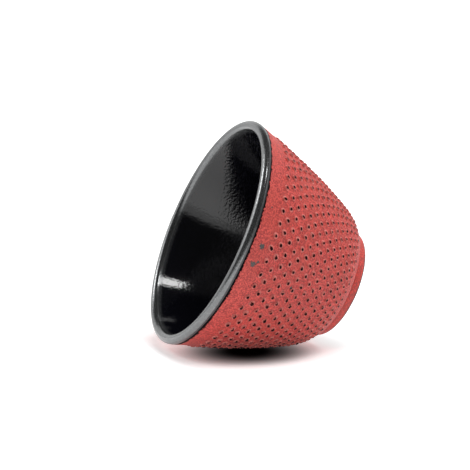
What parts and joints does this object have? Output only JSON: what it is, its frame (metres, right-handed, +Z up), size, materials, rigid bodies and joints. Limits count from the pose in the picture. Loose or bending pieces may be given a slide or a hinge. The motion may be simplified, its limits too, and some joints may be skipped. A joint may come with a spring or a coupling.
{
  "type": "tea cup",
  "caption": "Small handleless cast iron tea cup with a rounded lip, staggered rows of hobnails and a foot ring, enamelled inside and painted outside.",
  "frame": {"origin": "middle of the foot ring's underside, on the surface that the cup stands on", "axes": "+Z up along the cup's axis, from the foot to the mouth; X and Y are any two square directions of the round cup"},
  "size_m": [0.078, 0.078, 0.051],
  "materials": {
    "bare_iron": "dark bare cast iron, fine sand grain",
    "painted_iron": "cast iron with thin red paint, worn dark at the tips",
    "black_enamel": "gloss black vitreous enamel with slight orange peel",
    "red_paint": "satin red paint over fine cast grain"
  },
  "bodies": {
    "root": {"iron_body": "bare_iron", "foot_ring": "bare_iron", "hobnails": "painted_iron", "enamel_lining": "black_enamel", "red_coat": "red_paint", "foot_coat": "red_paint"}
  },
  "joints": []
}
